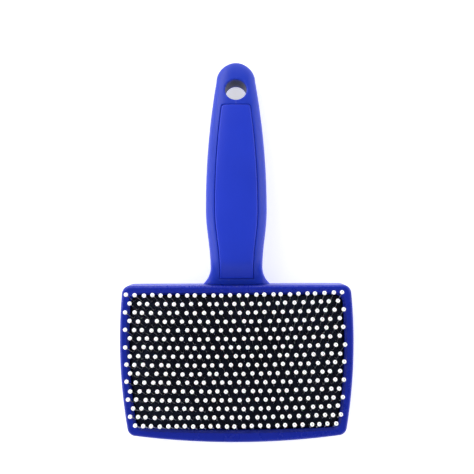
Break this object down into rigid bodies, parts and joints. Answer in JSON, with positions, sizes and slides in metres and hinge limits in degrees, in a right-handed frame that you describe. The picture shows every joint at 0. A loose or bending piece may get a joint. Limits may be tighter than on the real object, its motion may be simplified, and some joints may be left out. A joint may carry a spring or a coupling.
{
  "type": "slicker brush",
  "caption": "Pet grooming slicker brush: hollow handle with hang hole and inlaid panel, framed head, cushioned bed of bent wire pins with ball tips.",
  "frame": {"origin": "middle of the flat back of the head, on the surface it lies on", "axes": "+Z the way the pins stand, away from the back; +Y up the handle from the head to the hang hole; +X to the right, seen from the pin side with the handle up"},
  "size_m": [0.1176, 0.1929, 0.0273],
  "materials": {
    "shell_plastic": "gloss",
    "insert_plastic": "satin",
    "frame_plastic": "gloss",
    "pad_rubber": "matte",
    "pad_canvas": "matte",
    "foam": "matte",
    "pin_wire": "satin",
    "ball_tip": "gloss"
  },
  "bodies": {
    "brush": {"body_shell": "shell_plastic", "handle_insert": "insert_plastic", "head_frame": "frame_plastic", "pad_rubber": "pad_rubber", "foam_cushion": "foam"},
    "pin_bed": {"pad_canvas": "pad_canvas", "pin_row_01": "pin_wire", "pin_row_02": "pin_wire", "pin_row_03": "pin_wire", "pin_row_04": "pin_wire", "pin_row_05": "pin_wire", "pin_row_06": "pin_wire", "pin_row_07": "pin_wire", "pin_row_08": "pin_wire", "pin_row_09": "pin_wire", "pin_row_10": "pin_wire", "pin_row_11": "pin_wire", "pin_row_12": "pin_wire", "pin_row_13": "pin_wire", "pin_row_14": "pin_wire", "pin_row_15": "pin_wire", "pin_row_16": "pin_wire", "tip_row_01": "ball_tip", "tip_row_02": "ball_tip", "tip_row_03": "ball_tip", "tip_row_04": "ball_tip", "tip_row_05": "ball_tip", "tip_row_06": "ball_tip", "tip_row_07": "ball_tip", "tip_row_08": "ball_tip", "tip_row_09": "ball_tip", "tip_row_10": "ball_tip", "tip_row_11": "ball_tip", "tip_row_12": "ball_tip", "tip_row_13": "ball_tip", "tip_row_14": "ball_tip", "tip_row_15": "ball_tip", "tip_row_16": "ball_tip"}
  },
  "joints": [
    {"name": "bed_press", "type": "slide", "parent": "brush", "child": "pin_bed", "axis": [0, 0, -1], "range_m": [0, 0.002], "stiffness_N_per_m": 3000, "springref_m": -0.0003, "deforming": ["pad_rubber", "foam_cushion"]}
  ]
}
